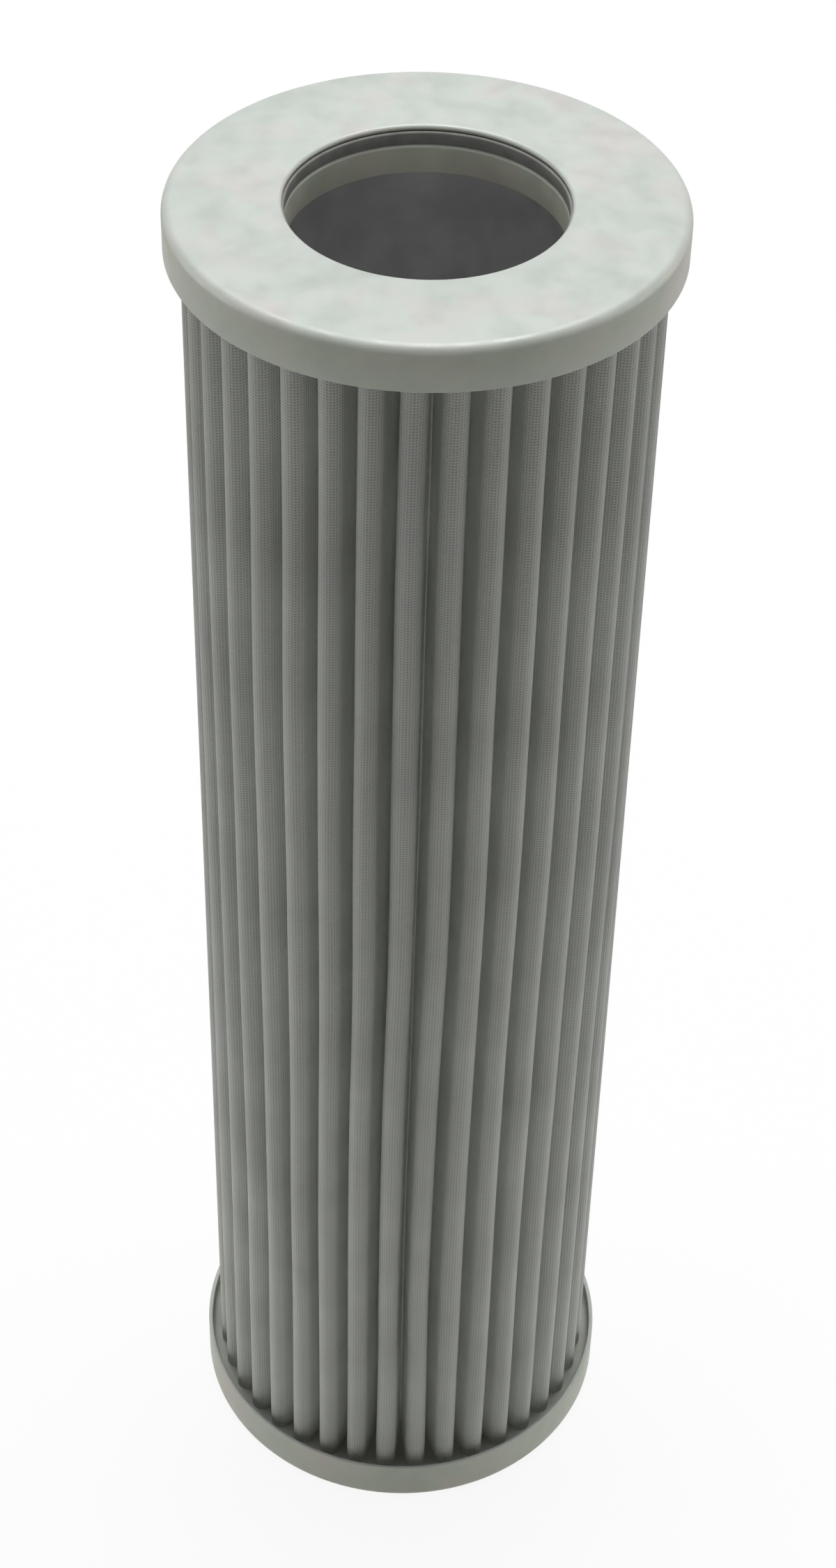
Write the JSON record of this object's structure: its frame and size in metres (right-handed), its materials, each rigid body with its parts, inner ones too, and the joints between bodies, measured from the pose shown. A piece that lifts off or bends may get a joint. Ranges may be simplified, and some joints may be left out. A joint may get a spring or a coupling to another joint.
{
  "type": "pleated filter element",
  "caption": "Cylindrical hydraulic filter element: folded wire cloth and filter web round a slotted tube, bonded into pressed steel end caps, one closed and one with a sealed spigot bore",
  "frame": {"origin": "middle of the underside of the closed end cap", "axes": "+Z along the element's axis towards the open end cap; the bonded side seam of the pleat pack lies towards +Y, 2 degrees round from it towards -X"},
  "size_m": [0.078, 0.078, 0.2675],
  "materials": {
    "plated_steel": "dull zinc plating, faintly mottled",
    "tube_steel": "dull zinc plating",
    "wire_cloth": "fine woven wire cloth, dull grey",
    "glass_fibre_web": "matt bonded fibre web",
    "seal_rubber": "matt nitrile rubber",
    "bonding_resin": "cured grey bonding compound"
  },
  "bodies": {
    "root": {"top_end_cap": "plated_steel", "bottom_end_cap": "plated_steel", "seal_carrier": "plated_steel", "seal_ring": "seal_rubber", "support_tube": "tube_steel", "outer_mesh": "wire_cloth", "filter_medium": "glass_fibre_web", "inner_mesh": "wire_cloth", "side_seam": "bonding_resin", "top_bond": "bonding_resin", "bottom_bond": "bonding_resin"}
  },
  "joints": []
}
